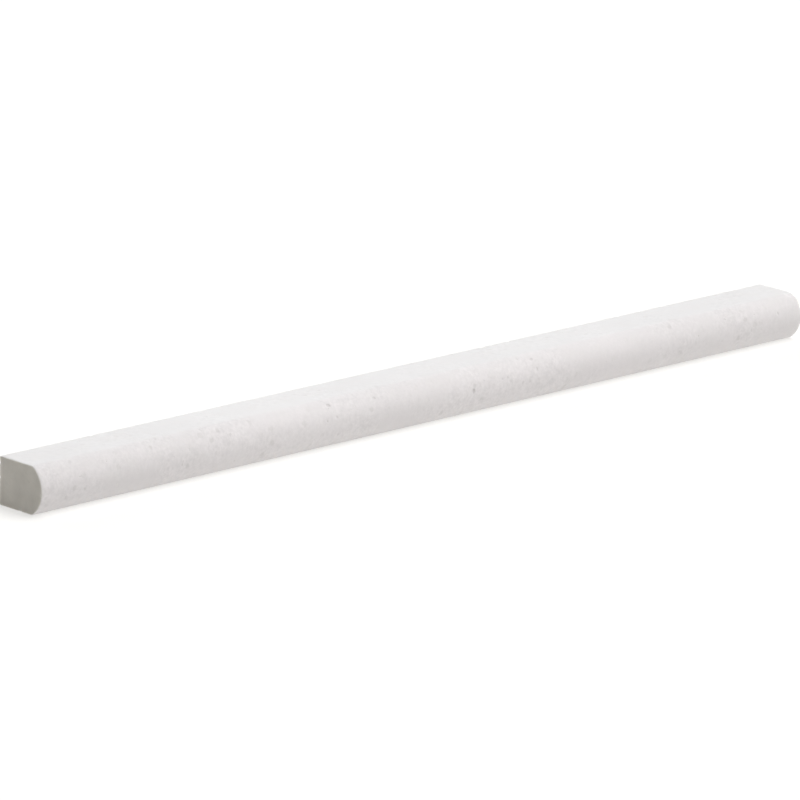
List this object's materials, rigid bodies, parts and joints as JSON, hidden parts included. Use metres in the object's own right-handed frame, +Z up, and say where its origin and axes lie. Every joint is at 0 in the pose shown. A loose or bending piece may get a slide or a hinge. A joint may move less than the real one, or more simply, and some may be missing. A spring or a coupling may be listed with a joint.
{
  "type": "pencil liner tile",
  "caption": "Straight stick of pale honed stone with a flat back, flat long sides and a rounded nose, set as a narrow raised line between courses of wall tile.",
  "frame": {"origin": "on the floor, under the middle of the stick's bounding box", "axes": "+X along the length, +Y from the rounded nose towards the flat back, +Z up from the lower long side to the upper one"},
  "size_m": [0.305, 0.0176, 0.014],
  "materials": {
    "limestone": "honed, matte"
  },
  "bodies": {
    "root": {"pencil_liner": "limestone"}
  },
  "joints": []
}
